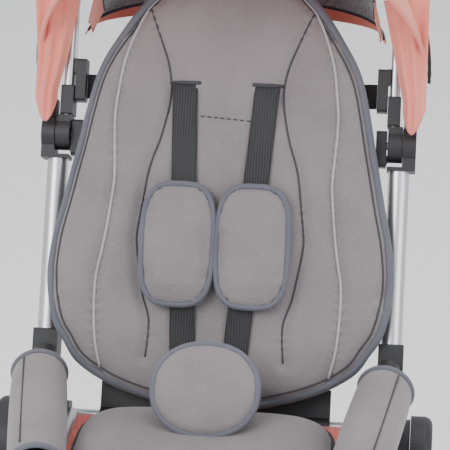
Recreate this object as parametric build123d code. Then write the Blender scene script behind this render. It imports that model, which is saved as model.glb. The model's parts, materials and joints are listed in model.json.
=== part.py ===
"""Folding baby stroller with one seat. Millimetres, +Z up, the front of the stroller faces -Y.

The origin is on the floor at the centre of the footprint. Places on the sloping main tubes are given as
s, the distance up the tube from the handle hinge's foot, and n, the distance in front of the tube's axis.
"""

import math
import os
from build123d import *

# driving dimensions
TUBE_LEAN = 30.0  # main tube's slope from the vertical, degrees
TUBE_X = 180.0  # main tube's centre from the middle plane
TUBE_R = 11.0
TUBE_WALL = 1.5
HINGE_Y, HINGE_Z = 50.0, 780.0  # foot of the handle hinge
TUBE_LENGTH = 690.0
FOLD_S = -300.0  # rear leg's pivot
LEG_LEAN = 39.9  # rear leg's slope from the vertical, degrees
LEG_R = 10.0
LEG_X = 214.5
RUN = 0.05  # radial clearance of a running fit
GAP = 0.3  # space between curved faces of different bodies
REAR_WHEEL_R = 90.0
REAR_WHEEL_WIDTH = 26.0
REAR_WHEEL_X = 242.0
FRONT_WHEEL_R = 70.0
FRONT_WHEEL_WIDTH = 15.0
FRONT_WHEEL_OFFSET = 14.5  # from the caster's middle to each wheel's middle
TYRE_DEPTH = 18.0
SWIVEL_Y = -302.0
TRAIL = 30.0
AXLE_R = 4.0
DISC_R = 48.0
DISC_GAP_X = 203.0  # inner disc's outer face
DISC_OUT_X = 226.0
HANDLE_X = 172.4
HANDLE_WIDE, HANDLE_DEEP = 10.0, 22.0
HANDLE_TOP = 345.0
GRIP_R = 16.0
HINGE_S = 27.0
ROTOR_R = 17.5
LEAF_SPLIT_X = 182.7
LEAF_OUT_X = 196.8
LEAF_IN_X = 167.3
BOW_S = 105.0  # canopy bow's pivot
BOW_HALF = 209.0
ROOF_HALF, ROOF_RISE = 205.2, 206.2
SHELL = 3.0
BACK_S = -268.0  # backrest's pivot
LINER_THICK = 39.0
LINER_BACK = -3.0
LINER_LIMIT = 166.0  # half width that still passes between the tubes
SEAT_X = 150.0
SEAT_R = 8.0
SEAT_FRONT_Y, SEAT_FRONT_Z = -318.0, 548.0
BAR_R = 8.0
BAR_SLOPE = 7.0
SLEEVE_R = 29.5
SLEEVE_LENGTH = 160.0
WEB = 26.0  # webbing's width
WEB_THICK = 1.8
CROSS_R = 9.0

LEAN = math.radians(TUBE_LEAN)
UP = Vector(0, math.sin(LEAN), math.cos(LEAN))
OUT = Vector(0, -math.cos(LEAN), math.sin(LEAN))
SIDES = (("left", -1), ("right", 1))
X_AXIS = Vector(1, 0, 0)

os.makedirs("parts", exist_ok=True)


def at(s, n=0.0, x=0.0):
    """The point s up the main tube's line and n in front of it."""
    return Vector(x, HINGE_Y, HINGE_Z) + UP * s + OUT * n


def side_plane(x, s, n=0.0):
    """A plane across X, its own x up the tube and its own y towards the front."""
    return Plane(origin=at(s, n, x), x_dir=UP, z_dir=X_AXIS)


def face_plane(n):
    """A plane along the backrest, its own x to the right and its own y up the tube."""
    return Plane(origin=at(0, n), x_dir=X_AXIS, z_dir=OUT)


def rod(start, end, radius):
    """A round bar between two points."""
    line = Vector(*end) - Vector(*start)
    return extrude(Plane(origin=start, z_dir=line) * Circle(radius), line.length)


def cross_rod(y, z, x0, x1, radius):
    """A round bar along X."""
    low, high = sorted((x0, x1))
    return rod((low, y, z), (high, y, z), radius)


def block(x0, x1, s0, s1, n0, n1, round_by=0.0):
    """A block square to the main tube, between its x, s and n limits, with its edges along X rounded."""
    low, high = sorted((x0, x1))
    outline = Pos((s0 + s1) / 2, (n0 + n1) / 2) * Rectangle(s1 - s0, n1 - n0)
    if round_by:
        outline = fillet(outline.vertices(), round_by)
    return extrude(side_plane(low, 0) * outline, high - low)


def upright(x0, x1, y0, y1, z0, z1):
    """A block square to the floor."""
    size = Box(abs(x1 - x0), abs(y1 - y0), abs(z1 - z0))
    return Pos((x0 + x1) / 2, (y0 + y1) / 2, (z0 + z1) / 2) * size


def keep(shape, node):
    """Writes one node."""
    export_step(shape, f"parts/{node}.step")


def group(solids):
    """Several separate solids as one node."""
    return Compound(children=list(solids))


def mirrored(shape):
    """The same shape on the other side."""
    return mirror(shape, Plane.YZ)


def both(shape, node):
    """A node on each side: the shape is the right one."""
    keep(shape, f"{node}_right")
    keep(mirrored(shape), f"{node}_left")


def pair(shape, node):
    """One node of two solids that ride on the same body: the shape is the right one."""
    keep(group([shape, mirrored(shape)]), node)


# main frame
fold_point = at(FOLD_S)
tube_core = rod(at(-TUBE_LENGTH, 0, TUBE_X), at(0, 0, TUBE_X), TUBE_R)
tube_bore = rod(at(-TUBE_LENGTH, 0, TUBE_X), at(0, 0, TUBE_X), TUBE_R - TUBE_WALL)
both(tube_core - tube_bore, "main_tube")

CROSS_S = -540.0
cross_start = at(CROSS_S, 0, -TUBE_X)
cross_end = at(CROSS_S, 0, TUBE_X)
front_cross = rod(cross_start, cross_end, CROSS_R) - tube_core - mirrored(tube_core)
keep(front_cross.solids().sort_by(Axis.X)[len(front_cross.solids()) // 2], "front_cross_tube")

# front leg ends, with the swivel's bearing
HOUSING_TOP, HOUSING_LOW = 186.0, 148.0
STEM_R = 5.0
SOCKET_R = 15.0
swivel = rod((TUBE_X, SWIVEL_Y, HOUSING_LOW), (TUBE_X, SWIVEL_Y, HOUSING_TOP), 17)
socket = rod(at(-TUBE_LENGTH - 6, 0, TUBE_X), at(-640, 0, TUBE_X), SOCKET_R)
stem_hole = rod((TUBE_X, SWIVEL_Y, HOUSING_LOW - 1), (TUBE_X, SWIVEL_Y, 175), STEM_R + RUN)
pair((swivel + socket) - tube_core - stem_hole, "front_leg_ends")

# casters: stem, blade and axle, then two wheels
FORK_TOP = HOUSING_LOW - GAP
axle_y = SWIVEL_Y + TRAIL
crown = rod((TUBE_X, SWIVEL_Y, FORK_TOP - 10), (TUBE_X, SWIVEL_Y, FORK_TOP), 16)
stem = rod((TUBE_X, SWIVEL_Y, FORK_TOP - 2), (TUBE_X, SWIVEL_Y, 172), STEM_R)
blade_outline = make_hull(
    (Pos(SWIVEL_Y, FORK_TOP - 12) * Circle(11)).edges() + (Pos(axle_y, FRONT_WHEEL_R) * Circle(11)).edges()
)
BLADE_HALF = 5.0
yz_plane = Plane(origin=(TUBE_X - BLADE_HALF, 0, 0), x_dir=(0, 1, 0), z_dir=X_AXIS)
blade = extrude(yz_plane * blade_outline, 2 * BLADE_HALF)
wheel_reach = FRONT_WHEEL_OFFSET + FRONT_WHEEL_WIDTH / 2
front_axle = cross_rod(axle_y, FRONT_WHEEL_R, TUBE_X - wheel_reach, TUBE_X + wheel_reach, AXLE_R)
both(crown + stem + blade + front_axle, "caster_fork")


def wheel(radius, width, x, y, hub_r, spokes):
    """A wheel's rim and tyre, on an axle along X."""
    rim_r = radius - TYRE_DEPTH
    plane = Plane(origin=(x - width / 2, y, radius), x_dir=(0, 1, 0), z_dir=X_AXIS)
    inner = rim_r - 7
    ring = Circle(rim_r) - Circle(inner)
    hub = Circle(hub_r)
    arms = [Rot(0, 0, 360 / spokes * i) * Pos(inner / 2, 0) * Rectangle(inner + 3, 9) for i in range(spokes)]
    web = extrude(plane.offset(width * 0.2) * (Sketch() + arms), width * 0.6)
    rim = extrude(plane * ring, width) + extrude(plane * hub, width) + web
    rim = rim.solids().sort_by(SortBy.VOLUME)[-1]
    rim -= cross_rod(y, radius, x - width, x + width, AXLE_R + RUN)
    section = Pos(x, (radius + rim_r) / 2) * Rectangle(width, TYRE_DEPTH)
    section = fillet(section.vertices().group_by(Axis.Y)[-1], width * 0.35)
    lift = Plane(origin=(0, y, radius), x_dir=X_AXIS, z_dir=(0, -1, 0))
    tyre = revolve(lift * section, Axis((0, y, radius), (1, 0, 0)), 360)
    return rim, tyre


front_pair = [
    wheel(FRONT_WHEEL_R, FRONT_WHEEL_WIDTH, TUBE_X + side * FRONT_WHEEL_OFFSET, axle_y, 11, 5)
    for side in (-1, 1)
]
both(group(pair[0] for pair in front_pair), "front_rims")
both(group(pair[1] for pair in front_pair), "front_tyres")

# fold joint: a disc on the tube, a disc on the rear leg, and the pin through both
PIN_R = 5.0
fold_y, fold_z = fold_point.Y, fold_point.Z
inner_disc = cross_rod(fold_y, fold_z, TUBE_X + 4, DISC_GAP_X, DISC_R - 4)
fold_pin = cross_rod(fold_y, fold_z, TUBE_X + TUBE_R + 2, DISC_OUT_X + 2, PIN_R)
pair(inner_disc - tube_core - fold_pin, "fold_discs_inner")
pair(fold_pin, "fold_pins")
outer_disc = cross_rod(fold_y, fold_z, DISC_GAP_X + 0.5, DISC_OUT_X, DISC_R)
outer_disc = fillet(outer_disc.edges().filter_by(GeomType.CIRCLE).sort_by(Axis.X)[-1], 9)
outer_disc -= cross_rod(fold_y, fold_z, DISC_GAP_X, DISC_OUT_X + 1, PIN_R + RUN)
pair(outer_disc, "fold_discs_outer")

# rear legs, their cross tube and wheels
leg_lean = math.radians(LEG_LEAN)
DOWN = Vector(0, math.sin(leg_lean), -math.cos(leg_lean))
LEG_LENGTH = (fold_z - REAR_WHEEL_R) / math.cos(leg_lean)
leg_top = Vector(LEG_X, fold_y, fold_z)
leg_end = leg_top + DOWN * LEG_LENGTH
HUB_R = 16.0
hub = cross_rod(leg_end.Y, leg_end.Z, LEG_X - 11.5, LEG_X + 11.5, HUB_R)
disc_space = cross_rod(fold_y, fold_z, DISC_GAP_X, DISC_OUT_X + 1, DISC_R)
rear_leg = rod(leg_top, leg_end, LEG_R) - disc_space - hub
both(rear_leg, "rear_leg")
PEDAL_IN, PEDAL_OUT = 186.0, 201.0
rear_axle = cross_rod(leg_end.Y, leg_end.Z, PEDAL_IN - 3, REAR_WHEEL_X + 16, AXLE_R)
pair(hub - rear_axle, "rear_hubs")
pair(rear_axle, "rear_axles")
REAR_CROSS_AT = 350.0
cross = leg_top + DOWN * REAR_CROSS_AT
leg_core = rod(leg_top, leg_end, LEG_R)
rear_cross = cross_rod(cross.Y, cross.Z, -LEG_X, LEG_X, CROSS_R) - leg_core - mirrored(leg_core)
keep(rear_cross.solids().sort_by(Axis.X)[len(rear_cross.solids()) // 2], "rear_cross_tube")
rear_rim, rear_tyre = wheel(REAR_WHEEL_R, REAR_WHEEL_WIDTH, REAR_WHEEL_X, leg_end.Y, 14, 6)
both(rear_rim, "rear_rim")
both(rear_tyre, "rear_tyre")

# brake pedals turn on the axles' inner ends
pedal = cross_rod(leg_end.Y, leg_end.Z, PEDAL_IN, PEDAL_OUT, 12)
pedal += upright(PEDAL_IN, PEDAL_OUT, leg_end.Y, leg_end.Y + 46, leg_end.Z - 4, leg_end.Z + 4)
pedal -= cross_rod(leg_end.Y, leg_end.Z, PEDAL_IN - 9, PEDAL_OUT + 9, AXLE_R + RUN)
both(pedal, "brake_pedal")

# handle hinge: the fixed leaf outside, the turning leaf inside
LEAF_N = 13.0
HINGE_PIN_R = 4.0
BASE_HIGH = 4.0
leaf_disc = extrude(side_plane(LEAF_SPLIT_X + 0.2, HINGE_S) * Circle(19), LEAF_OUT_X - LEAF_SPLIT_X - 0.2)
leaf = leaf_disc + block(LEAF_SPLIT_X + 0.2, LEAF_OUT_X, 0, HINGE_S, -LEAF_N, LEAF_N)
leaf += block(LEAF_IN_X, LEAF_OUT_X, 0, BASE_HIGH, -LEAF_N, LEAF_N)
leaf += rod(at(-30, 0, TUBE_X), at(0, 0, TUBE_X), TUBE_R - TUBE_WALL)
SOCKET_IN, SOCKET_OUT = 183.5, 194.5
RIB_IN, RIB_OUT, RIB_N = 186.0, 190.0, 6.0
RIB_FOOT = 48.0
leaf += block(SOCKET_IN, SOCKET_OUT, HINGE_S + 10, 63, -9, 9)
rib_foot = block(RIB_IN, RIB_OUT, RIB_FOOT, BOW_S + 8, -RIB_N, RIB_N)
pivot_side = side_plane(0, HINGE_S)
hinge_pin = extrude(side_plane(LEAF_IN_X - 1, HINGE_S) * Circle(HINGE_PIN_R), LEAF_OUT_X - LEAF_IN_X + 1)
pair(leaf - rib_foot - hinge_pin, "hinge_leaves")
pair(hinge_pin, "hinge_pins")
handle_leg = block(
    HANDLE_X - HANDLE_WIDE / 2,
    HANDLE_X + HANDLE_WIDE / 2,
    HINGE_S + ROTOR_R - 2,
    HANDLE_TOP,
    -HANDLE_DEEP / 2,
    HANDLE_DEEP / 2,
)
handle_leg = fillet(handle_leg.edges().filter_by(lambda e: abs(e.tangent_at(0.5).dot(UP)) > 0.99), 4.5)
rotor = extrude(side_plane(LEAF_IN_X, HINGE_S) * Circle(ROTOR_R), LEAF_SPLIT_X - LEAF_IN_X - 0.2)
rotor += block(LEAF_IN_X, LEAF_SPLIT_X - 0.2, HINGE_S, 46, -LEAF_N, LEAF_N)
rotor_bore = extrude(side_plane(LEAF_IN_X - 1, HINGE_S) * Circle(HINGE_PIN_R + RUN), 30)
pair(rotor - rotor_bore - handle_leg, "hinge_rotors")
knob = block(155, LEAF_IN_X - 1.2, 4, 42, -9, 9, 3) + block(164, LEAF_IN_X, 8, 16, -6, 6)
pair(knob, "lock_cases")

# handle
handle_y, handle_z = at(HANDLE_TOP).Y, at(HANDLE_TOP).Z
HANDLE_BAR_R = 9.0
handle_reach = HANDLE_X + HANDLE_WIDE / 2
bar = cross_rod(handle_y, handle_z, -handle_reach, handle_reach, HANDLE_BAR_R)
handle = handle_leg + bar + mirrored(handle_leg)
keep(handle, "handle_tube")
GRIP_HALF = 158.0
grip = cross_rod(handle_y, handle_z, -GRIP_HALF, GRIP_HALF, GRIP_R)
grip -= cross_rod(handle_y, handle_z, -GRIP_HALF - 1, GRIP_HALF + 1, HANDLE_BAR_R)
keep(grip, "handle_grip")

# lock collars slide up the handle
COLLAR_LOW, COLLAR_HIGH = 46.5, 78.0
COLLAR_WALL = 1.6
slide_space = block(
    HANDLE_X - HANDLE_WIDE / 2 - RUN,
    HANDLE_X + HANDLE_WIDE / 2 + RUN,
    COLLAR_LOW - 1,
    COLLAR_HIGH + 1,
    -HANDLE_DEEP / 2 - RUN,
    HANDLE_DEEP / 2 + RUN,
)
collar_reach = HANDLE_WIDE / 2 + COLLAR_WALL
collar = block(HANDLE_X - collar_reach, HANDLE_X + collar_reach, COLLAR_LOW, COLLAR_HIGH, -13, 13, 2)
both(collar - slide_space, "lock_collar")

# clips and webbing that hold the backrest up
CLIP_IN = 154.0
clip = block(CLIP_IN, 165, 62, 107, -10, 10, 3) + block(164, HANDLE_X - HANDLE_WIDE / 2, 92, 107, -10, 10)
pair(clip, "strap_clips")
STRAP_LOW, STRAP_HIGH = 66.0, 92.0
tail = block(143.5, CLIP_IN, STRAP_LOW, STRAP_HIGH, -3, -3 + WEB_THICK)
pair(tail, "recline_strap_ends")

# canopy: rib, bow, roof, rear panel and side flaps
bow_point = at(BOW_S)


def canopy_plane(angle):
    """A plane through the bow's pivot, its own y at this angle behind the vertical."""
    a = math.radians(angle)
    return Plane(origin=bow_point, x_dir=X_AXIS, z_dir=(0, -math.cos(a), math.sin(a)))


def arch(half, rise, thick, foot):
    """A half-elliptical band standing on its feet."""
    band = Ellipse(half, rise) - Ellipse(half - thick, rise - thick)
    return band & (Pos(0, foot + rise) * Rectangle(3 * half, 2 * rise))


RIB_ANGLE, RIB_RISE = 14.0, 196.0
BOW_HALF_DEEP = 5.0
rib_arch = extrude(canopy_plane(RIB_ANGLE) * arch(RIB_OUT, RIB_RISE, 4, 0), RIB_N, both=True)
rib = rib_arch + rib_foot + mirrored(rib_foot)
keep(rib, "canopy_rib")
BOW_PIN_R = 3.0
bow_pin = cross_rod(bow_point.Y, bow_point.Z, RIB_OUT, BOW_HALF + 1, BOW_PIN_R)
pair(bow_pin, "canopy_pins")
BOW_THICK = 3.5
bow = extrude(canopy_plane(0) * arch(BOW_HALF, BOW_HALF + 1, BOW_THICK, 0), BOW_HALF_DEEP, both=True)
for side in (-1, 1):
    foot = upright(
        side * (BOW_HALF - BOW_THICK),
        side * BOW_HALF,
        bow_point.Y - BOW_HALF_DEEP,
        bow_point.Y + BOW_HALF_DEEP,
        bow_point.Z - 9,
        bow_point.Z + 1,
    )
    bow += foot
bow -= cross_rod(bow_point.Y, bow_point.Z, -BOW_HALF - 5, BOW_HALF + 5, BOW_PIN_R + RUN)
keep(bow, "canopy_bow")
pivot_line = Axis(bow_point, (1, 0, 0))


def shell(half, rise, foot, first, last):
    """Part of a canopy turned round the bow's pivot, from the first angle to the last."""
    face = canopy_plane(first) * arch(half, rise, SHELL, foot)
    return revolve(face, pivot_line, first - last)


ROOF_FRONT, ROOF_REAR = -32.0, 10.0
keep(shell(ROOF_HALF, ROOF_RISE, 24, ROOF_FRONT, ROOF_REAR), "canopy_roof")
REAR_HALF = 160.0
rear_start = RIB_ANGLE + math.degrees(math.asin((RIB_N + GAP) / 186))
keep(shell(REAR_HALF, RIB_RISE + SHELL + GAP, 40, rear_start, 62), "canopy_rear_panel")
flap = block(LEAF_OUT_X + GAP, LEAF_OUT_X + GAP + 2.5, 26, 97, -14, 15, 8)
pair(flap, "canopy_side_flaps")

# seat frame, base and cushion
back_pivot = at(BACK_S, -6)
seat_side = rod((SEAT_X, back_pivot.Y, back_pivot.Z), (SEAT_X, SEAT_FRONT_Y, SEAT_FRONT_Z), SEAT_R)
front_bar = cross_rod(SEAT_FRONT_Y, SEAT_FRONT_Z, -SEAT_X, SEAT_X, SEAT_R)
BACK_ROD_R = 6.0
rear_bar = cross_rod(back_pivot.Y, back_pivot.Z, -SEAT_X, SEAT_X, BACK_ROD_R)
corners = [Pos(side * SEAT_X, SEAT_FRONT_Y, SEAT_FRONT_Z) * Sphere(SEAT_R) for side in (-1, 1)]
seat_frame = seat_side + front_bar + mirrored(seat_side) + rear_bar + corners
keep(seat_frame, "seat_frame")
bracket = block(SEAT_X + 2, TUBE_X - 4, BACK_S - 14, BACK_S + 14, -16, 8, 3)
pair(bracket - tube_core - seat_side - rear_bar, "seat_brackets")
SEAT_REAR_Y = -114.0
rise = (SEAT_FRONT_Z - back_pivot.Z) / (back_pivot.Y - SEAT_FRONT_Y)
CUSHION_HIGH = 26.0
CUSHION_HALF = 114.0  # between the bumper sleeves


def on_seat(y, above):
    """Height of a point above the seat frame's line."""
    return back_pivot.Z + rise * (back_pivot.Y - y) + above


def seat_slab(half, y0, y1, low, high):
    """A slab along the seat, between two heights above the frame's line."""
    points = [(y0, on_seat(y0, low)), (y1, on_seat(y1, low)), (y1, on_seat(y1, high)), (y0, on_seat(y0, high))]
    outline = make_face(Polyline(*points, close=True))
    return extrude(Plane(origin=(-half, 0, 0), x_dir=(0, 1, 0), z_dir=X_AXIS) * outline, 2 * half)


SLING_HALF = SEAT_X - SEAT_R - GAP
keep(seat_slab(SLING_HALF, back_pivot.Y - 14, SEAT_FRONT_Y + SEAT_R + 4, 3, 7), "seat_base")
seat_top = SEAT_R + GAP
cushion = seat_slab(CUSHION_HALF, SEAT_REAR_Y, SEAT_FRONT_Y - 6, seat_top, seat_top + CUSHION_HIGH)
cushion -= cross_rod(SEAT_FRONT_Y, SEAT_FRONT_Z, -SEAT_X - 10, SEAT_X + 10, SEAT_R + 3 + GAP)
keep(cushion, "seat_cushion")

# backrest board and padded liner
EGG = [(0, 217), (91, 174), (136, 90), (151, 16), (170, -60), (182, -130), (162, -196), (104, -238), (0, -258)]
half_egg = [Vector(x, s) for x, s in EGG]
egg_line = Spline(half_egg, tangents=[(1, 0), (-1, 0)])
egg = make_face(egg_line + mirror(egg_line, Plane.YZ))
board = extrude(face_plane(-9) * Pos(0, -14) * scale(egg, 0.87), 6, dir=OUT)
board += block(-120, 120, BACK_S, -230, -9, -3)
board += cross_rod(back_pivot.Y, back_pivot.Z, -120, 120, 9.5)
board -= cross_rod(back_pivot.Y, back_pivot.Z, -130, 130, BACK_ROD_R + RUN)
keep(board, "backrest_board")
liner_top = LINER_BACK + LINER_THICK
liner = extrude(face_plane(LINER_BACK) * egg, LINER_THICK, dir=OUT)
beside_liner = block(LINER_LIMIT, 250, -300, 300, LINER_BACK - 5, liner_top + 5)
liner = liner - beside_liner - mirrored(beside_liner)
liner -= cross_rod(back_pivot.Y, back_pivot.Z, -200, 200, 9.5 + GAP)
keep(liner, "backrest_liner")
WING_BACK = TUBE_R + 3
wing = extrude(face_plane(WING_BACK) * egg, liner_top - WING_BACK, dir=OUT)
wing -= block(-250, LINER_LIMIT, -300, 300, 0, 90)
pair(wing.solids()[0], "liner_wings")
keep(block(-138, 138, STRAP_LOW, STRAP_HIGH, -9 - WEB_THICK, -9), "recline_strap")

# harness
HARNESS_X = 44.0
harness = block(HARNESS_X - WEB / 2, HARNESS_X + WEB / 2, -232, 79, liner_top, liner_top + WEB_THICK)
pair(harness, "harness_straps")
PAD_LOW, PAD_HIGH = -140.0, -30.0
pad = block(HARNESS_X - 36, HARNESS_X + 34, PAD_LOW, PAD_HIGH, liner_top + WEB_THICK, liner_top + 14)
pad = fillet(pad.edges().filter_by(lambda e: abs(e.tangent_at(0.5).dot(OUT)) > 0.99), 24)
pair(pad, "shoulder_pads")
PAD_Y, PAD_Z, PAD_TILT = -156.0, 622.0, 40.0
pad_plane = Plane(origin=(0, PAD_Y, PAD_Z), x_dir=X_AXIS, z_dir=(0, -math.cos(math.radians(PAD_TILT)), 0.643))
keep(extrude(pad_plane * Ellipse(52, 46), 14), "crotch_pad")
keep(extrude(pad_plane.offset(-9) * Ellipse(17, 20), 8.7), "harness_buckle")
strap_foot = on_seat(PAD_Y, SEAT_R + GAP + CUSHION_HIGH + 0.1)
keep(upright(-WEB / 2, WEB / 2, PAD_Y + 4, PAD_Y + 6, strap_foot, PAD_Z - 9.8), "crotch_strap")

# bumper bar, its brackets and sleeves
slope = math.radians(BAR_SLOPE)
FORWARD = Vector(0, -math.cos(slope), -math.sin(slope))
BAR_X = 178.0
bar_foot = Vector(BAR_X, -71.0, 611.0)
bend = bar_foot + FORWARD * 30
near = Vector(154, -252, 589)
corner = Vector(120, -318, 596)
route = [bar_foot, bend, near, corner]
route += [Vector(-p.X, p.Y, p.Z) for p in reversed(route)]
bar_line = FilletPolyline(*route, radius=[60, 90, 55, 55, 90, 60])
bumper = sweep(Plane(origin=bar_foot, z_dir=FORWARD) * Circle(BAR_R), path=bar_line)
keep(bumper, "bumper_bar")
bracket_socket = rod(bar_foot - FORWARD * 2, bar_foot + FORWARD * 22, BAR_R + 4)
bracket_bore = rod(bar_foot - FORWARD * 1, bar_foot + FORWARD * 60, BAR_R + RUN)
clamp = block(TUBE_X - 13, TUBE_X + 13, -226, -180, -14, 14, 3)
pair((clamp + bracket_socket) - tube_core - bracket_bore, "bumper_brackets")
arm = (near - bend).normalized()
sleeve_start = bend + arm * 4
sleeve_end = sleeve_start + arm * SLEEVE_LENGTH
sleeve = rod(sleeve_start, sleeve_end, SLEEVE_R) - bumper
sleeve -= rod(sleeve_end - arm * 26, sleeve_end + arm, SLEEVE_R - 6)
pair(sleeve.solids().sort_by(SortBy.VOLUME)[-1], "bumper_sleeves")

# leg rest on the seat's front bar, foot board on the front cross tube
REST_HALF, REST_LENGTH, REST_THICK = 118.0, 140.0, 10.0
rest_tilt = math.radians(12)
rest_plane = Plane(
    origin=(-REST_HALF, SEAT_FRONT_Y, SEAT_FRONT_Z),
    x_dir=(0, -math.sin(rest_tilt), -math.cos(rest_tilt)),
    z_dir=X_AXIS,
)
rest_outline = Circle(SEAT_R + 3) + Pos(SEAT_R + REST_LENGTH / 2, 0) * Rectangle(REST_LENGTH, REST_THICK)
rest_outline -= Circle(SEAT_R + RUN)
keep(extrude(rest_plane * rest_outline, 2 * REST_HALF), "leg_rest")
foot_mid = at(CROSS_S, 0)
foot_board = upright(-110, 110, foot_mid.Y - 78, foot_mid.Y + 4, foot_mid.Z + 2, foot_mid.Z + 12)
foot_board += cross_rod(foot_mid.Y, foot_mid.Z, -60, 60, CROSS_R + 4)
keep(foot_board - rod(cross_start, cross_end, CROSS_R), "foot_board")

# basket under the seat
BASKET_HALF, BASKET_WALL = 150.0, 3.0
BASKET_FRONT, BASKET_REAR = -204.0, 35.0
BASKET_LOW, BASKET_HIGH = 225.0, 330.0
rim_reach = 26.0
low_face = Pos(0, (BASKET_FRONT + BASKET_REAR) / 2, BASKET_LOW) * Rectangle(
    2 * BASKET_HALF - 30, BASKET_REAR - BASKET_FRONT - 10
)
high_plane = Plane(origin=(0, (BASKET_FRONT + BASKET_REAR + rim_reach) / 2, BASKET_HIGH))
high_face = high_plane * Rectangle(2 * BASKET_HALF, BASKET_REAR - BASKET_FRONT + rim_reach)
outside = loft([low_face, high_face], ruled=True)
inside_low = Pos(0, (BASKET_FRONT + BASKET_REAR) / 2, BASKET_LOW + BASKET_WALL) * Rectangle(
    2 * (BASKET_HALF - BASKET_WALL) - 30, BASKET_REAR - BASKET_FRONT - 10 - 2 * BASKET_WALL
)
inside_high = high_plane.offset(1) * Rectangle(
    2 * (BASKET_HALF - BASKET_WALL), BASKET_REAR - BASKET_FRONT + rim_reach - 2 * BASKET_WALL
)
keep(outside - loft([inside_low, inside_high], ruled=True), "basket")
hooks = []
for side in (-1, 1):
    x = side * 100
    front_y = foot_mid.Y + CROSS_R
    hooks.append(upright(x - 10, x + 10, front_y + 0.1, BASKET_FRONT - 0.1, BASKET_HIGH - 24, BASKET_HIGH - 10))
    low = Vector(0, BASKET_REAR + rim_reach - 8, BASKET_HIGH + 0.4)
    hang = back_pivot - Vector(0, low.Y, low.Z)
    hook_plane = Plane(origin=(side * 130, low.Y, low.Z), x_dir=X_AXIS, z_dir=hang)
    hooks.append(extrude(hook_plane * Rectangle(16, 2), hang.length - BACK_ROD_R - GAP))
keep(group(hooks), "basket_straps")
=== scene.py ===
"""Looks of a folding baby stroller: soft goods, finishes, floor, light and camera."""

import json
import logging
import math
from dataclasses import dataclass
from enum import Enum
from typing import Callable, Sequence

import bmesh
import bpy
import numpy as np
from mathutils import Matrix, Vector
from mathutils.bvhtree import BVHTree


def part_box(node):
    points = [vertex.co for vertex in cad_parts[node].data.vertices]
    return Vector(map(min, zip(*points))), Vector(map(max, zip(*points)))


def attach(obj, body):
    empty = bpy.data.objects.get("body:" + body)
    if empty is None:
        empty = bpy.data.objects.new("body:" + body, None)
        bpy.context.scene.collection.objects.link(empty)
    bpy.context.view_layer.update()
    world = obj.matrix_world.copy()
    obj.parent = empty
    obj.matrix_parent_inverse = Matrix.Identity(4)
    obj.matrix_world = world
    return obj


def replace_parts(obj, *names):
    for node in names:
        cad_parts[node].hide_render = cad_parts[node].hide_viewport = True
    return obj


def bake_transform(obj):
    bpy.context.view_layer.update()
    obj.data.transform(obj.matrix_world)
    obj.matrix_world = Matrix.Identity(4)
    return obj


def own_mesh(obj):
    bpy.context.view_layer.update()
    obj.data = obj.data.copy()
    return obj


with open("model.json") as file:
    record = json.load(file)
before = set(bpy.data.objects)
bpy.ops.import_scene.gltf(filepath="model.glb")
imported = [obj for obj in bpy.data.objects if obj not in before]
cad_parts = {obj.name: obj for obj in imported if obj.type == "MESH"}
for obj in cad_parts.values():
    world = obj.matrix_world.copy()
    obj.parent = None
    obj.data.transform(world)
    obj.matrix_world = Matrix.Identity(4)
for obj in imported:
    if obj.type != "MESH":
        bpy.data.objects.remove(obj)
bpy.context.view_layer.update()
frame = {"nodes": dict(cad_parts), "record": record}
LOG = logging.getLogger("stroller")

UP = Vector((0, 0.5, 0.8660254))
OUT = Vector((0, -0.8660254, 0.5))
SIDE = Vector((1, 0, 0))
HINGE = Vector((0, 0.05, 0.78))
BOW_PIVOT = Vector((0, 0.1025, 0.87093))
Point = Sequence[float]


def at(s: float, n: float = 0.0, x: float = 0.0) -> Vector:
    """Returns the point s up the tube plane, n in front of it and x to the side."""
    return HINGE + UP * s + OUT * n + SIDE * x


class Slot(Enum):
    """Material slots of the record, handed to the soft pieces' builders, which do not apply them."""

    KNIT = "knit_grey"
    SEAT = "seat_grey"
    CORAL = "canopy_coral"
    MESH = "coral_mesh"
    WEBBING = "webbing_black"


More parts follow.
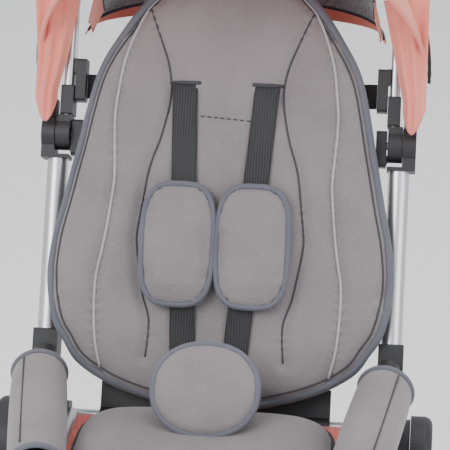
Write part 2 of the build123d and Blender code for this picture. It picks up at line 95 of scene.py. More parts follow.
@dataclass(frozen=True)
class Finish:
    """One procedural finish.

    Args: base and dark are linear colours, rough the roughness, metal the metallic value, scale and depth the
    size and strength of the surface pattern, rows the ribs per metre, sheen the cloth sheen.
    """

    name: str
    base: Point
    dark: Point
    rough: float = 0.8
    metal: float = 0.0
    scale: float = 900.0
    depth: float = 0.3
    rows: float = 0.0
    sheen: float = 0.0
    open_share: float = 0.0

    def build(self) -> bpy.types.Material:
        """Returns the material, made once."""
        made = bpy.data.materials.get(self.name)
        if made:
            return made
        material = bpy.data.materials.new(self.name)
        material.use_nodes = True
        nodes, links = material.node_tree.nodes, material.node_tree.links
        shader = nodes["Principled BSDF"]
        shader.inputs["Metallic"].default_value = self.metal
        shader.inputs["Sheen Weight"].default_value = self.sheen
        place = nodes.new("ShaderNodeTexCoord")
        wide = nodes.new("ShaderNodeTexNoise")
        wide.inputs["Scale"].default_value = 18.0
        wide.inputs["Detail"].default_value = 6.0
        fine = nodes.new("ShaderNodeTexVoronoi" if self.sheen else "ShaderNodeTexNoise")
        fine.inputs["Scale"].default_value = self.scale
        links.new(place.outputs["Object"], wide.inputs["Vector"])
        links.new(place.outputs["Object"], fine.inputs["Vector"])
        height = fine.outputs["Distance" if self.sheen else "Fac"]
        if self.rows:
            ribs = nodes.new("ShaderNodeTexWave")
            ribs.bands_direction = "X"
            ribs.inputs["Scale"].default_value = self.rows
            links.new(place.outputs["Object"], ribs.inputs["Vector"])
            height = ribs.outputs["Fac"]
        blend = nodes.new("ShaderNodeMath")
        blend.operation = "MULTIPLY_ADD"
        blend.inputs[1].default_value = 0.45
        links.new(height, blend.inputs[0])
        links.new(wide.outputs["Fac"], blend.inputs[2])
        tone = nodes.new("ShaderNodeMapRange")
        tone.inputs["From Min"].default_value = 0.3
        tone.inputs["From Max"].default_value = 0.9
        links.new(blend.outputs[0], tone.inputs["Value"])
        mix = nodes.new("ShaderNodeMix")
        mix.data_type = "RGBA"
        mix.inputs["A"].default_value = (*self.dark, 1)
        mix.inputs["B"].default_value = (*self.base, 1)
        links.new(tone.outputs["Result"], mix.inputs["Factor"])
        links.new(mix.outputs["Result"], shader.inputs["Base Color"])
        rough = nodes.new("ShaderNodeMapRange")
        rough.inputs["To Min"].default_value = self.rough - 0.06
        rough.inputs["To Max"].default_value = min(1.0, self.rough + 0.08)
        links.new(wide.outputs["Fac"], rough.inputs["Value"])
        links.new(rough.outputs["Result"], shader.inputs["Roughness"])
        bump = nodes.new("ShaderNodeBump")
        bump.inputs["Strength"].default_value = self.depth
        bump.inputs["Distance"].default_value = 0.0006
        links.new(height, bump.inputs["Height"])
        links.new(bump.outputs["Normal"], shader.inputs["Normal"])
        if self.open_share:
            holes = nodes.new("ShaderNodeMath")
            holes.operation = "GREATER_THAN"
            holes.inputs[1].default_value = self.open_share
            links.new(height, holes.inputs[0])
            links.new(holes.outputs[0], shader.inputs["Alpha"])
        return material


KNIT = Finish("grey_knit", (0.235, 0.212, 0.218), (0.17, 0.152, 0.158), 0.88, scale=620, depth=0.5,
    sheen=0.25)
# Painted shade: a darker copy of the grey knit, made for the seat cushion that lies in shadow; the leg rest, its
# sleeve and the basket use it too.
SHADED_KNIT = Finish("shaded_knit", (0.2, 0.18, 0.185), (0.14, 0.125, 0.13), 0.88, scale=620, depth=0.5,
    sheen=0.2)
BINDING = Finish("binding", (0.13, 0.133, 0.16), (0.085, 0.088, 0.11), 0.8, scale=1400, depth=0.3, sheen=0.15)
PIPING = Finish("piping", (0.42, 0.4, 0.41), (0.3, 0.285, 0.29), 0.75, scale=1400, depth=0.3, sheen=0.15)
SEAM = Finish("seam_thread", (0.05, 0.05, 0.058), (0.025, 0.025, 0.03), 0.8, scale=1500, depth=0.3, sheen=0.1)
CORAL = Finish("coral_weave", (0.86, 0.29, 0.22), (0.72, 0.17, 0.12), 0.82, scale=1100, depth=0.3, sheen=0.3)
CORAL_NET = Finish("coral_net", (0.8, 0.2, 0.15), (0.35, 0.05, 0.04), 0.85, scale=420, depth=0.9, sheen=0.2)
GREY_NET = Finish("grey_net", (0.34, 0.35, 0.37), (0.08, 0.08, 0.09), 0.85, scale=420, depth=0.9, sheen=0.1)
WEBBING = Finish("black_webbing", (0.035, 0.035, 0.038), (0.008, 0.008, 0.01), 0.72, rows=110, depth=0.8)

HARD = {
    "tube_aluminium": Finish("anodised", (0.66, 0.66, 0.68), (0.58, 0.58, 0.6), 0.36, 1.0, 1800, 0.08),
    "steel": Finish("turned_steel", (0.6, 0.6, 0.62), (0.48, 0.48, 0.5), 0.3, 1.0, 1400, 0.08),
    "black_plastic": Finish("moulded_black", (0.022, 0.022, 0.025), (0.012, 0.012, 0.014), 0.5, 0, 1500,
        0.22),
    "rib_grey": Finish("moulded_grey", (0.3, 0.3, 0.31), (0.23, 0.23, 0.24), 0.45, 0, 1500, 0.15),
    "rim_grey": Finish("rim_plastic", (0.16, 0.16, 0.17), (0.11, 0.11, 0.12), 0.45, 0, 1500, 0.2),
    "tyre_black": Finish("tyre_foam", (0.03, 0.03, 0.03), (0.018, 0.018, 0.018), 0.85, 0, 700, 0.5),
    "grip_foam": Finish("foam_grip", (0.028, 0.028, 0.03), (0.016, 0.016, 0.018), 0.9, 0, 900, 0.6),
}


def make(
    name: str, points: Sequence[Vector], faces: Sequence[Sequence[int]], finish: Finish, slot: Slot
) -> bpy.types.Object:
    """Makes a closed mesh piece with outward faces.

    Args: points and faces describe the mesh, finish its look; slot is not used.
    Returns: the new object at the origin.
    """
    mesh = bpy.data.meshes.new(name)
    mesh.from_pydata([tuple(p) for p in points], [], [tuple(f) for f in faces])
    work = bmesh.new()
    work.from_mesh(mesh)
    bmesh.ops.remove_doubles(work, verts=work.verts, dist=1e-6)
    bmesh.ops.dissolve_degenerate(work, edges=work.edges, dist=1e-7)
    bmesh.ops.recalc_face_normals(work, faces=work.faces)
    work.to_mesh(mesh)
    work.free()
    mesh.shade_smooth()
    mesh.materials.append(finish.build())
    obj = bpy.data.objects.new(name, mesh)
    bpy.context.scene.collection.objects.link(obj)
    return obj


def grid(
    name: str,
    where: Callable[[float, float], Vector],
    nu: int,
    nv: int,
    thick: float,
    finish: Finish,
    slot: Slot,
    ring: bool = False,
) -> bpy.types.Object:
    """Makes a sheet of cloth with real thickness over a surface.

    Args: where maps (u, v) in 0..1 to a point, nu and nv are the divisions, ring closes the sheet along u.
    Returns: the new object.
    """
    us = nu if ring else nu + 1
    p = np.array([[where(i / nu, j / nv) for j in range(nv + 1)] for i in range(us)])
    du = (np.roll(p, -1, 0) - np.roll(p, 1, 0)) if ring else np.gradient(p, axis=0)
    normal = np.cross(du, np.gradient(p, axis=1))
    normal /= np.maximum(np.linalg.norm(normal, axis=2, keepdims=True), 1e-9)
    step = normal * thick / 2
    points = np.concatenate([(p + step).reshape(-1, 3), (p - step).reshape(-1, 3)])
    low = us * (nv + 1)

    def index(i: int, j: int) -> int:
        """Returns a point's place in the list."""
        return (i % us) * (nv + 1) + j

    faces = []
    for i in range(nu):
        for j in range(nv):
            quad = [index(i, j), index(i + 1, j), index(i + 1, j + 1), index(i, j + 1)]
            faces += [quad, [k + low for k in reversed(quad)]]
        for j in (0, nv):
            faces.append([index(i, j), index(i + 1, j), index(i + 1, j) + low, index(i, j) + low])
    if not ring:
        for i in (0, nu):
            for j in range(nv):
                faces.append([index(i, j), index(i, j + 1), index(i, j + 1) + low, index(i, j) + low])
    return make(name, points, faces, finish, slot)


def tube(
    name: str,
    path: Sequence[Vector],
    radius: float,
    finish: Finish,
    slot: Slot,
    closed: bool = True,
    sides: int = 8,
    flat: float = 1.0,
    face: Vector = OUT,
) -> bpy.types.Object:
    """Makes a binding, piping or seam along a path.

    Args: flat scales the section along face.
    Returns: the new object.
    """
    count = len(path)
    points, faces = [], []
    for i, p in enumerate(path):
        ahead = path[(i + 1) % count] if closed or i < count - 1 else p
        behind = path[i - 1] if closed or i else p
        along = (ahead - behind).normalized()
        across = along.cross(face).normalized()
        lift = across.cross(along)
        for k in range(sides):
            a = 2 * math.pi * k / sides
            points.append(p + across * radius * math.cos(a) + lift * radius * flat * math.sin(a))
    for i in range(count if closed else count - 1):
        for k in range(sides):
            a, b = i * sides + k, i * sides + (k + 1) % sides
            c, d = ((i + 1) % count) * sides + (k + 1) % sides, ((i + 1) % count) * sides + k
            faces.append([a, b, c, d])
    if not closed:
        faces += [list(range(sides)), list(range((count - 1) * sides, count * sides))]
    return make(name, points, faces, finish, slot)


def pillow(
    name: str,
    outline: Sequence[Point],
    centre: Point,
    lay: Callable[[float, float, float], Vector],
    front: float,
    back: float,
    finish: Finish,
    slot: Slot,
) -> bpy.types.Object:
    """Makes a crowned closed pad.

    Args: outline lists (a, b) round the edge, lay maps (a, b, height) to a point, front and back are its heights.
    Returns: the new object.
    """
    rings = 22
    count = len(outline)
    points, faces = [], []
    for side, high in ((1, front), (-1, back)):
        points.append(lay(centre[0], centre[1], high))
        for r in range(1, rings + (side > 0)):
            share = math.sin(0.5 * math.pi * r / rings)
            rise = high * (1 - share**6) ** 0.5
            for a, b in outline:
                x = centre[0] + (a - centre[0]) * share
                y = centre[1] + (b - centre[1]) * share
                points.append(lay(x, y, rise))
    top, low = 1, 1 + rings * count + 1
    for k in range(count):
        n = (k + 1) % count
        faces += [[0, top + k, top + n], [low - 1, low + n, low + k]]
        for r in range(rings - 1):
            a, b = top + r * count, top + (r + 1) * count
            faces.append([a + k, b + k, b + n, a + n])
        for r in range(rings - 2):
            a, b = low + r * count, low + (r + 1) * count
            faces.append([a + n, b + n, b + k, a + k])
        last, edge = low + (rings - 2) * count, top + (rings - 1) * count
        faces.append([last + n, edge + n, edge + k, last + k])
    return make(name, points, faces, finish, slot)


def inflate(obj: bpy.types.Object, voxel: float, cap: float, facing: Vector = OUT) -> bpy.types.Object:
    """Swells a pad as stuffed cloth does, then keeps the result in its mesh.

    Args: voxel is the remesh size, cap how far a point may move, in metres,
        facing the way the pad swells, so that its edge stays in its binding.
    Returns: the same object.
    """
    remesh = obj.modifiers.new("even", "REMESH")
    remesh.mode = "VOXEL"
    remesh.voxel_size = voxel
    bake(obj)
    start = np.array([v.co for v in obj.data.vertices])
    cloth = obj.modifiers.new("stuffing", "CLOTH")
    cloth.settings.use_pressure = True
    cloth.settings.uniform_pressure_force = 4
    cloth.settings.effector_weights.gravity = 0
    cloth.settings.quality = 4
    cloth.point_cache.frame_end = 20
    scene = bpy.context.scene
    for number in range(1, 21):
        scene.frame_set(number)
    shape = obj.evaluated_get(bpy.context.evaluated_depsgraph_get()).to_mesh()
    moved = np.array([v.co for v in shape.vertices]) - start
    axis = np.array(facing)
    moved = (moved @ axis)[:, None] * axis
    obj.modifiers.clear()
    scene.frame_set(1)
    far = np.linalg.norm(moved, axis=1, keepdims=True)
    moved *= np.minimum(1, cap / np.maximum(far, 1e-9))
    obj.data.vertices.foreach_set("co", (start + moved).ravel())
    smooth = obj.modifiers.new("finer", "SUBSURF")
    smooth.levels = smooth.render_levels = 1
    bake(obj)
    obj.data.shade_smooth()
    return obj


def bake(obj: bpy.types.Object) -> None:
    """Applies an object's modifiers."""
    graph = bpy.context.evaluated_depsgraph_get()
    done = bpy.data.meshes.new_from_object(obj.evaluated_get(graph))
    obj.modifiers.clear()
    obj.data = done


def ease(knots: Sequence[Point], count: int) -> list[Vector]:
    """Returns an open smooth curve through flat points."""
    p = [Vector(k) for k in (knots[0], *knots, knots[-1])]
    result = []
    for i in range(1, len(p) - 2):
        for j in range(count):
            t = j / count
            a, b, c, d = p[i - 1 : i + 3]
            square = (2 * a - 5 * b + 4 * c - d) * t**2
            cube = (3 * b - a - 3 * c + d) * t**3
            result.append(0.5 * (2 * b + (c - a) * t + square + cube))
    return [*result, p[-1]]


def loop(half: Sequence[Point], count: int = 6) -> list[Vector]:
    """Returns a closed outline from the right half of a symmetric one, top to bottom."""
    right = ease(half, count)
    return right + [Vector((-p.x, p.y)) for p in reversed(right[1:-1])]


def oval(half_wide: float, half_high: float, power: float = 2.0, count: int = 72) -> list[Vector]:
    """Returns a closed rounded outline round the origin."""
    result = []
    for k in range(count):
        a = 2 * math.pi * k / count
        x = math.copysign(abs(math.cos(a)) ** (2 / power), math.cos(a))
        y = math.copysign(abs(math.sin(a)) ** (2 / power), math.sin(a))
        result.append(Vector((x * half_wide, y * half_high)))
    return result


class Liner:
    """The padded egg-shaped liner with its bindings, piping and seams.

    HALF, PIPE and SEAM are places on its right half in millimetres. EDGE is how far its edge stands in front of
    the tube plane, and TUBE_NEAR where it starts to pass in front of a tube, in metres.
    """

    EDGE = 0.0215
    TUBE_NEAR = 0.158

    HALF = [(0, 217), (50, 210), (91, 174), (121, 132), (142, 90), (158, 16), (170, -48), (179, -90), (182,
        -132),
            (174, -174), (161, -196), (145, -217), (107, -238), (50, -254), (0, -258)]
    PIPE = [(60, 186), (88, 158), (107, 111), (114, 69), (116, 37), (113, -16), (114, -37), (118, -74), (122,
        -100),
            (127, -132), (125, -185), (118, -219)]
    SEAM = [(87, 162), (71, 122), (63, 100), (59, 79), (59, 63), (61, 48), (67, 21), (74, 0), (78, -16), (81,
        -37),
            (86, -75), (86, -90), (82, -117), (77, -143), (69, -169), (71, -206)]

    def __init__(self) -> None:
        """Builds the pieces."""
        outline = loop([(max(0, x - 5) / 1000, s / 1000 - math.copysign(0.003, s)) for x, s in self.HALF])
        self.pad = pillow("liner", outline, (0, -0.05), self.lay, 0.017, -0.012, KNIT, Slot.KNIT)
        inflate(self.pad, 0.0048, 0.004)
        self.keep_inside()
        self.pipe = self.curve(self.PIPE)
        self.seam = self.curve(self.SEAM)
        self.sew()
        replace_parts(self.pad, "backrest_liner", "liner_wings")
        self.pieces = [self.pad]
        edge = [self.lay(p.x * 0.99, p.y * 0.992, 0.0) for p in outline]
        self.pieces.append(tube("liner_binding", edge, 0.0052, BINDING, Slot.KNIT, sides=10, flat=1.5))
        inner = [self.on(p.x * 0.955, -0.05 + (p.y + 0.05) * 0.965, 0.0008) for p in outline]
        self.pieces.append(tube("liner_edge_stitch", inner, 0.001, SEAM, Slot.KNIT, sides=6))
        for side in (-1, 1):
            word = "left" if side < 0 else "right"
            for label, line, size, look in (("piping", self.pipe, 0.0016, PIPING), ("seam", self.seam,
                0.0009, SEAM)):
                path = [self.on(side * p.x, p.y, size * 0.8) for p in line]
                self.pieces.append(tube(f"liner_{label}_{word}", path, size, look, Slot.KNIT, closed=False,
                    sides=6))
        for piece in self.pieces:
            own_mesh(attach(piece, "backrest"))

    @staticmethod
    def lay(x: float, s: float, high: float) -> Vector:
        """Returns a point of the liner, its edge standing in front of the tubes where it is wide."""
        share = 0.5 if high < 0 and abs(x) > Liner.TUBE_NEAR else 1.0
        return at(s, Liner.EDGE + high * share, x)

    @staticmethod
    def curve(table: Sequence[Point]) -> list[Vector]:
        """Returns a smooth seam line from a table in millimetres."""
        return ease([(x / 1000, s / 1000) for x, s in table], 5)

    def keep_inside(self) -> None:
        """Holds the pad's back clear of the board and the tubes."""
        for v in self.pad.data.vertices:
            n = (v.co - HINGE).dot(OUT)
            least = 0.003 if abs(v.co.x) < 0.157 else 0.0125
            if n < least:
                v.co += OUT * (least - n)

    def sew(self) -> None:
        """Draws the pad in along its seams and keeps its surface for what lies on it."""
        lines = np.array([[side * p.x, p.y] for line in (self.pipe,
            self.seam) for p in line for side in (-1, 1)])
        for v in self.pad.data.vertices:
            q = v.co - HINGE
            if q.dot(OUT) > 0.024:
                near = float(np.min((lines[:, 0] - q.x) ** 2 + (lines[:, 1] - q.dot(UP)) ** 2))
                v.co -= OUT * 0.0042 * math.exp(-near / 0.00005)
        self.pad.data.update()
        work = bmesh.new()
        work.from_mesh(self.pad.data)
        self.tree = BVHTree.FromBMesh(work)
        work.free()

    def on(self, x: float, s: float, above: float) -> Vector:
        """Returns the point above the liner's front at x and s."""
        hit = self.tree.ray_cast(at(s, 0.2, x), -OUT)[0]
        return (hit if hit else at(s, 0.022, x)) + OUT * above


class Harness:
    """Shoulder straps with their pads, the centre stitching and the crotch strap with its pad."""

    def __init__(self, liner: Liner) -> None:
        """Builds the pieces."""
        for word, top_x, low_x, pad_x in (("left", -0.044, -0.031, -0.042), ("right", 0.042, 0.02, 0.035)):
            def strap(u: float, v: float) -> Vector:
                """Returns a point of the strap."""
                s = 0.079 - v * 0.31
                x = top_x + (low_x - top_x) * v
                lift = 0.0014 + 0.003 * math.exp(-(((s + 0.09) / 0.08) ** 4))
                if v < 0.03:
                    lift -= 0.002
                return liner.on(x, s, lift) + SIDE * (u - 0.5) * 0.026

            belt = grid(f"shoulder_strap_{word}", strap, 6, 60, 0.0015, WEBBING, Slot.WEBBING)
            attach(belt, "backrest")
            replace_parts(belt, "harness_straps")
            slit = [liner.on(top_x + dx, 0.0795, 0.0003) for dx in np.linspace(-0.016, 0.016, 9)]
            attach(tube(f"strap_slot_{word}", slit, 0.0019, SEAM, Slot.KNIT, closed=False, sides=8),
                "backrest")
            rim = oval(0.0365, 0.062, 3.4)

            def lay(a: float, b: float, high: float) -> Vector:
                """Returns the point at a and b, high above the pad."""
                return liner.on(pad_x, -0.09, 0.012) + SIDE * a + UP * b + OUT * high

            pad = pillow(f"shoulder_pad_{word}", rim, (0, 0), lay, 0.006, -0.004, KNIT, Slot.KNIT)
            inflate(pad, 0.004, 0.004)
            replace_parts(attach(pad, "backrest"), "shoulder_pads")
            edge = [lay(p.x, p.y, 0) for p in rim]
            trim = tube(f"shoulder_pad_binding_{word}", edge, 0.0032, BINDING, Slot.KNIT, flat=1.2)
            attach(trim, "backrest")
        self.stitches(liner)
        self.crotch()

    @staticmethod
    def stitches(liner: Liner) -> None:
        """Sews the dashed line across the liner's centre."""
        for k in range(9):
            x = -0.026 + k * 0.0068
            path = [liner.on(x + dx, 0.043 - (x + dx) * 0.07, 0.0002) for dx in (0, 0.002, 0.004)]
            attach(tube(f"centre_stitch_{k}", path, 0.0007, SEAM, Slot.KNIT, closed=False, sides=6),
                "backrest")

    @staticmethod
    def crotch() -> None:
        """Makes the round crotch pad, its rim and the strap up to it."""
        tilt = math.radians(40)
        facing = Vector((0, -math.cos(tilt), math.sin(tilt)))
        upward = facing.cross(SIDE)
        middle = Vector((0, -0.156, 0.622)) + facing * 0.007

        def lay(a: float, b: float, high: float) -> Vector:
            """Returns the point at a and b, high above the pad."""
            return middle + SIDE * a + upward * b + facing * high

        rim = oval(0.052, 0.046, 2.2)
        pad = pillow("crotch_pad_cover", rim, (0, 0), lay, 0.009, -0.007, KNIT, Slot.KNIT)
        inflate(pad, 0.004, 0.004, facing)
        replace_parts(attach(pad, "frame"), "crotch_pad")
        edge = [lay(p.x, p.y, 0) for p in rim]
        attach(tube("crotch_pad_binding", edge, 0.0036, BINDING, Slot.KNIT, face=facing), "frame")
        low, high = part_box("crotch_strap")

        def web(u: float, v: float) -> Vector:
            """Returns a point of the webbing."""
            return Vector(((u - 0.5) * 0.026, (low[1] + high[1]) / 2, low[2] + (high[2] - low[2]) * v))

        strap = grid("crotch_webbing", web, 6, 10, 0.0016, WEBBING, Slot.WEBBING)
        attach(strap, "frame")
        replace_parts(strap, "crotch_strap")


class Seat:
    """Seat cushion, mesh sling, leg rest and bumper sleeves."""

    def __init__(self) -> None:
        """Builds the pieces."""
        self.cushion()
        self.sling()
        self.leg_rest()
        self.sleeves()

    @staticmethod
    def cushion() -> None:
        """Makes the seat cushion with its binding."""
        low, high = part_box("seat_cushion")
        base = low[2] + 0.011
        middle = (low[1] + high[1]) / 2
        rim = oval(0.128, (high[1] - low[1]) / 2 - 0.004, 6.0, 96)

        def lay(a: float, b: float, up: float) -> Vector:
            """Returns the point at a and b, high above the pad."""
            return Vector((a, middle + b, base + 0.004 + up))

        # The cushion takes the darker knit copy, painted shade for the shadow it sits in.
        pad = pillow("cushion", rim, (0, 0), lay, 0.021, -0.007, SHADED_KNIT, Slot.SEAT)
        inflate(pad, 0.005, 0.003, Vector((0, 0, 1)))
        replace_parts(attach(pad, "frame"), "seat_cushion")
        edge = [lay(p.x, p.y, 0) for p in rim]
        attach(tube("cushion_binding", edge, 0.0034, SEAM, Slot.SEAT, face=Vector((0, 0, 1))), "frame")

    @staticmethod
    def sling() -> None:
        """Makes the mesh sling under the cushion, slack between its tubes."""
        low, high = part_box("seat_base")

        def cloth(u: float, v: float) -> Vector:
            """Returns a point of the cloth."""
            sag = 0.008 * math.sin(math.pi * u) * math.sin(math.pi * v)
            return Vector((low[0] + (high[0] - low[0]) * u, low[1] + (high[1] - low[1]) * v,
                high[2] - 0.002 - sag))

        piece = grid("seat_sling", cloth, 40, 30, 0.0018, CORAL_NET, Slot.MESH)
        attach(piece, "frame")
        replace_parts(piece, "seat_base")

    @staticmethod
    def leg_rest() -> None:
        """Makes the padded leg rest that hangs from the seat's front bar."""
        tilt = math.radians(12)
        down = Vector((0, -math.sin(tilt), -math.cos(tilt)))
        facing = SIDE.cross(down)
        start = Vector((0, -0.318, 0.548))

        def lay(a: float, b: float, high: float) -> Vector:
            """Returns the point at a and b, high above the pad."""
            return start + SIDE * a + down * (0.082 + b) + facing * high

        rim = oval(0.116, 0.068, 5.0)
        pad = pillow("leg_rest_pad", rim, (0, 0), lay, 0.007, -0.005, SHADED_KNIT, Slot.SEAT)
        inflate(pad, 0.005, 0.003, facing)
        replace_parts(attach(pad, "leg_rest"), "leg_rest")
        edge = [lay(p.x, p.y, 0) for p in rim]
        trim = tube("leg_rest_binding", edge, 0.003, SEAM, Slot.SEAT, face=facing)
        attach(trim, "leg_rest")
        collar = [start + SIDE * x for x in np.linspace(-0.105, 0.105, 12)]
        sleeve = tube("leg_rest_sleeve", collar, 0.0105, SHADED_KNIT, Slot.SEAT, closed=False, sides=20)
        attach(sleeve, "leg_rest")

    @staticmethod
    def sleeves() -> None:
        """Makes the padded bumper sleeves with bound rims and open near ends."""
        slope = math.radians(7)
        start = Vector((0.178, -0.071, 0.611)) + Vector((0, -math.cos(slope), -math.sin(slope))) * 0.03
        near = Vector((0.154, -0.252, 0.589))
        along = (near - start).normalized()
        profile = [(0.004, 0.0087), (0.004, 0.0255), (0.008, 0.0282), (0.05, 0.0292), (0.09, 0.0294), (0.135,
            0.029),
                   (0.158, 0.0282), (0.164, 0.0262), (0.162, 0.0225), (0.138, 0.021), (0.138, 0.0087)]
        for side, word in ((-1, "left"), (1, "right")):
            axis = Vector((along.x * side, along.y, along.z))
            foot = Vector((start.x * side, start.y, start.z))
            across = axis.cross(Vector((0, 0, 1))).normalized()
            lift = across.cross(axis)
            sides = 48
            points = [
                foot + axis * t + (across * math.cos(a) + lift * math.sin(a)) * r
                for t, r in profile
                for a in (2 * math.pi * k / sides for k in range(sides))
            ]
            count = len(profile)
            faces = []
            for i in range(count):
                for k in range(sides):
                    j, n = (i + 1) % count, (k + 1) % sides
                    faces.append([i * sides + k, i * sides + n, j * sides + n, j * sides + k])
            pad = make(f"bumper_sleeve_{word}", points, faces, KNIT, Slot.KNIT)
            smooth = pad.modifiers.new("rounder", "SUBSURF")
            smooth.levels = smooth.render_levels = 1
            bake(pad)
            pad.data.shade_smooth()
            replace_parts(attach(pad, "bumper"), "bumper_sleeves")
            for label, t, r in (("rear", 0.006, 0.0268), ("near", 0.163, 0.0262)):
                ring = [foot + axis * t + (across * math.cos(a) + lift * math.sin(a)) * r
                        for a in np.linspace(0, 2 * math.pi, 48, endpoint=False)]
                trim = tube(f"sleeve_binding_{label}_{word}", ring, 0.003, BINDING, Slot.KNIT, face=axis)
                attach(trim, "bumper")
            line = [foot + axis * t + (across * -0.5 * side + lift * 0.86).normalized() * 0.0293
                    for t in np.linspace(0.012, 0.156, 30)]
            seam = tube(f"sleeve_seam_{word}", line, 0.0009, SEAM, Slot.KNIT, closed=False, sides=6)
            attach(seam, "bumper")


class Canopy:
    """Roof cloth, rear panel with its window and the drooping side lobes."""

    @staticmethod
    def spot(angle: float, half: float, rise: float, phi: float) -> Vector:
        """Returns a point of the hood at an angle behind the vertical and phi round its arch."""
        a = math.radians(angle)
        return BOW_PIVOT + SIDE * half * math.cos(phi) + Vector((0, math.sin(a),
            math.cos(a))) * rise * math.sin(phi)

    def __init__(self) -> None:
        """Builds the pieces."""
        self.roof()
        self.rear()
        self.lobes()

    def roof(self) -> None:
        """Makes the roof, one sheet drawn over the bow, slack between its edges."""

        def cloth(u: float, v: float) -> Vector:
            """Returns a point of the cloth."""
            phi = math.radians(6 + 168 * u)
            fold = 0.0016 * math.sin(46 * u) * math.sin(math.pi * v) ** 0.5
            dip = 0.006 * math.sin(math.pi * v) * (1 if v < 0.76 else 0.4)
            return self.spot(-32 + 42 * v, 0.2025, 0.2035 - dip + fold, phi)

        piece = grid("canopy_cloth", cloth, 90, 26, 0.0014, CORAL, Slot.CORAL)
        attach(piece, "canopy")
        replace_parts(piece, "canopy_roof")
        path = [cloth(k / 60, 0) for k in range(61)]
        hem = tube("canopy_front_hem", path, 0.0026, CORAL, Slot.CORAL, closed=False, face=SIDE + UP)
        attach(hem, "canopy")

    def rear(self) -> None:
        """Makes the rear panel: a coral hem, black piping and a grey mesh window."""

        def window(u: float, v: float) -> Vector:
            """Returns a point of the window."""
            dip = 0.005 * math.sin(math.pi * v)
            return self.spot(16.5 + 43 * v, 0.158, 0.1985 - dip, math.radians(22 + 136 * u))

        net = grid("canopy_window", window, 60, 24, 0.0012, GREY_NET, Slot.CORAL)
        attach(net, "frame")
        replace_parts(net, "canopy_rear_panel")
        self.drop()
        for side, word in ((0, "right"), (1, "left")):
            def hem(u: float, v: float) -> Vector:
                """Returns a point of the hem."""
                phi = math.radians(12 + 10 * u)
                spot = self.spot(16.5 + 43 * v, 0.158, 0.1985 - 0.003 * math.sin(9 * v), phi)
                return Vector((-spot.x, spot.y, spot.z)) if side else spot

            band = grid(f"canopy_hem_{word}", hem, 6, 20, 0.0016, CORAL, Slot.CORAL)
            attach(band, "frame")
            trim = tube(f"canopy_piping_{word}", [hem(1, k / 20) for k in range(21)], 0.0017, SEAM,
                Slot.CORAL,
                        closed=False, face=SIDE)
            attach(trim, "frame")

    def drop(self) -> None:
        """Makes the part of the rear panel that falls to its hem behind the seat."""

        def cloth(u: float, v: float) -> Vector:
            """Returns a point of the cloth."""
            phi = math.pi * (0.122 + 0.756 * u)
            hem = Vector((0.16 * math.cos(math.pi * u), 0.122 + 0.088 * math.sin(math.pi * u) ** 0.7, 0.895))
            return hem.lerp(self.spot(59.5, 0.158, 0.1985, phi), v) + Vector((0,
                0.004 * math.sin(math.pi * v), 0))

        for name, low, high, look, rows in (("hem", 0.0, 0.17, CORAL, 8), ("net", 0.17, 1.0, GREY_NET, 30)):
            piece = grid(f"canopy_back_{name}", lambda u, v: cloth(u, low + (high - low) * v), 90, rows,
                0.0014, look,
                         Slot.CORAL)
            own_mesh(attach(piece, "frame"))
            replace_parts(piece, "canopy_rear_panel")
        line = tube("canopy_back_piping", [cloth(k / 60, 0.17) + Vector((0, -0.001, 0)) for k in range(61)],
            0.0016,
                    SEAM, Slot.CORAL, closed=False, face=Vector((0, 1, 0)))
        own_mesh(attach(line, "frame"))

    @staticmethod
    def lobes() -> None:
        """Makes the side lobes that droop over the hinges."""
        for side, word in ((-1, "left"), (1, "right")):
            def cloth(u: float, v: float) -> Vector:
                """Returns a point of the cloth."""
                foot = 0.034 + 0.03 * (2 * u - 1) ** 2 + 0.004 * math.sin(5 * u)
                s = foot + (0.172 - foot) * v
                lean = 0.577 * (1 - 0.35 * u) * max(0.0, s - 0.105)
                puff = 0.009 * math.sin(math.pi * u) * (1 - 0.5 * v)
                fold = 0.0022 * math.sin(17 * u + 0.8) * (0.35 + 0.65 * math.sin(math.pi * v))
                reach = 0.0225 + 0.024 * max(0.0, (s - 0.07) / 0.1)
                return at(s, 0.019 + lean + puff + fold, side * (0.2045 - reach * u))

            piece = grid(f"canopy_lobe_{word}", cloth, 40, 40, 0.0014, CORAL, Slot.CORAL)
            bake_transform(piece)
            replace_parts(piece, "canopy_side_flaps")


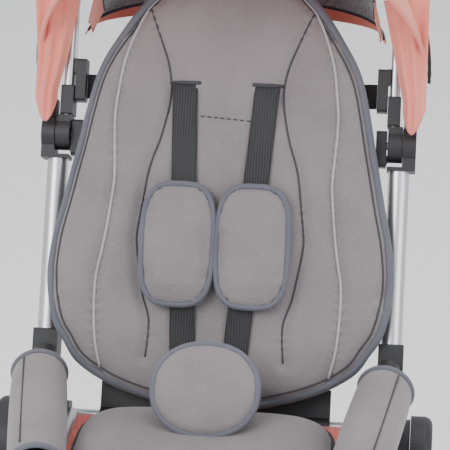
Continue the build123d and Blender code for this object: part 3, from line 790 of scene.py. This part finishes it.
class Basket:
    """The shopping basket and the straps that hang it."""

    def __init__(self) -> None:
        """Builds the pieces."""
        low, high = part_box("basket")
        mid_low, mid_high = -0.0845, -0.0715

        def cloth(u: float, v: float) -> Vector:
            """Returns a point of the cloth."""
            a = 2 * math.pi * u
            x = math.copysign(abs(math.cos(a)) ** 0.36, math.cos(a))
            y = math.copysign(abs(math.sin(a)) ** 0.36, math.sin(a))
            if v < 0.45:
                share, rise = 0.001 + v / 0.45 * 0.94, 0.0
            else:
                rise = (v - 0.45) / 0.55
                share = 0.94 + 0.06 * min(1, rise * 5)
            wide = (0.134 + 0.0155 * rise) * share
            deep = (0.1135 + 0.0185 * rise) * share
            middle = mid_low + (mid_high - mid_low) * rise
            round_up = 0.006 * max(0.0, (share - 0.9) / 0.1) if v < 0.45 else 0.006 * (1 - rise)
            bulge = 1 + 0.012 * math.sin(math.pi * rise)
            return Vector((x * wide * bulge, middle + y * deep, low[2] + 0.002 + round_up + 0.1 * rise))

        piece = grid("basket_cloth", cloth, 96, 40, 0.0022, SHADED_KNIT, Slot.SEAT, ring=True)
        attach(piece, "frame")
        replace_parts(piece, "basket")
        rim = [cloth(k / 96, 1) for k in range(96)]
        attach(tube("basket_rim", rim, 0.0034, SEAM, Slot.SEAT, face=Vector((0, 0, 1))), "frame")
        self.hangers()

    @staticmethod
    def hangers() -> None:
        """Makes the four webbing hangers."""
        low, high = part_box("basket_straps")
        for side, word in ((-1, "left"), (1, "right")):
            for label, x, a, b, wide in (
                ("front", 0.1, Vector((0, low[1], 0.312)), Vector((0, -0.2042, 0.312)), 0.014),
                ("rear", 0.13, Vector((0, 0.053, 0.3304)), Vector((0, -0.0756, 0.5394)), 0.016),
            ):
                def web(u: float, v: float) -> Vector:
                    """Returns a point of one hanger."""
                    way = Vector((0, 0, 1)) if label == "front" else SIDE
                    return a.lerp(b, v) + way * (u - 0.5) * wide + SIDE * x * side

                strap = grid(f"basket_webbing_{label}_{word}", web, 6, 16, 0.0018, WEBBING, Slot.WEBBING)
                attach(strap, "frame")
                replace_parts(strap, "basket_straps")


class ReclineStraps:
    """Webbing from the handle's clips to the back of the seat."""

    def __init__(self) -> None:
        """Builds the pieces."""
        for side, word in ((-1, "left"), (1, "right")):
            def end(u: float, v: float) -> Vector:
                """Returns a point of the strap's tail."""
                return at(0.066 + 0.026 * u, -0.0022 - 0.001 * v, side * (0.1535 - 0.01 * v))

            def behind(u: float, v: float) -> Vector:
                """Returns a point of the band behind the board."""
                x = 0.1435 - 0.1435 * v
                n = -0.0032 - 0.0066 * min(1.0, v * 5)
                return at(0.066 + 0.026 * u, n, side * x)

            tail = grid(f"strap_tail_{word}", end, 6, 6, 0.0015, WEBBING, Slot.WEBBING)
            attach(tail, "handle")
            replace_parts(tail, "recline_strap_ends")
            band = grid(f"strap_band_{word}", behind, 6, 40, 0.0014, WEBBING, Slot.WEBBING)
            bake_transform(band)
            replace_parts(band, "recline_strap")


class Studio:
    """Floor, lights and camera."""

    def __init__(self) -> None:
        """Builds the pieces."""
        mesh = bpy.data.meshes.new("floor")
        mesh.from_pydata([(-4, -4, 0), (4, -4, 0), (4, 4, 0), (-4, 4, 0)], [], [(0, 1, 2, 3)])
        mesh.materials.append(Finish("floor_pale", (0.95, 0.95, 0.95), (0.92, 0.92, 0.92), 0.7).build())
        floor = bpy.data.objects.new("floor", mesh)
        bpy.context.scene.collection.objects.link(floor)
        world = bpy.data.worlds.new("soft_world")
        world.use_nodes = True
        world.node_tree.nodes["Background"].inputs["Color"].default_value = (0.95, 0.96, 1, 1)
        world.node_tree.nodes["Background"].inputs["Strength"].default_value = 0.95
        bpy.context.scene.world = world
        for name, place, size, power in (
            ("key", (-1.4, -2.0, 2.6), 1.6, 56),
            ("fill", (2.2, -1.4, 1.8), 1.8, 27),
            ("top", (0.2, 0.6, 3.0), 1.8, 30),
        ):
            lamp = bpy.data.lights.new(name, "AREA")
            lamp.size = size
            lamp.energy = power
            holder = bpy.data.objects.new(name, lamp)
            holder.location = place
            aim = Vector((0, -0.05, 0.7)) - Vector(place)
            holder.rotation_euler = aim.to_track_quat("-Z", "Y").to_euler()
            bpy.context.scene.collection.objects.link(holder)
        lens = bpy.data.cameras.new("camera")
        lens.lens = 167.4
        lens.sensor_width = 36
        eye = bpy.data.objects.new("camera", lens)
        turn = Matrix(((0.99452, -0.04252, 0.09549), (0.10453, 0.40451, -0.90854), (0, 0.91354, 0.40674)))
        eye.matrix_world = Matrix.Translation((0.21035, -1.9743, 1.6177)) @ turn.to_4x4()
        bpy.context.scene.collection.objects.link(eye)
        bpy.context.scene.camera = eye


def paint_frame() -> None:
    """Gives every hard CAD node its finish."""
    for part in frame["record"]["subparts"]:
        finish = HARD.get(part["material_slot"])
        if finish:
            data = frame["nodes"][part["node"]].data
            data.materials.clear()
            data.materials.append(finish.build())


def main() -> None:
    """Builds the scene."""
    logging.basicConfig(level=logging.INFO)
    paint_frame()
    Harness(Liner())
    for build in (Seat, Canopy, Basket, ReclineStraps, Studio):
        build()
        LOG.info("%s done", build.__name__)


if __name__ == "__main__":
    main()
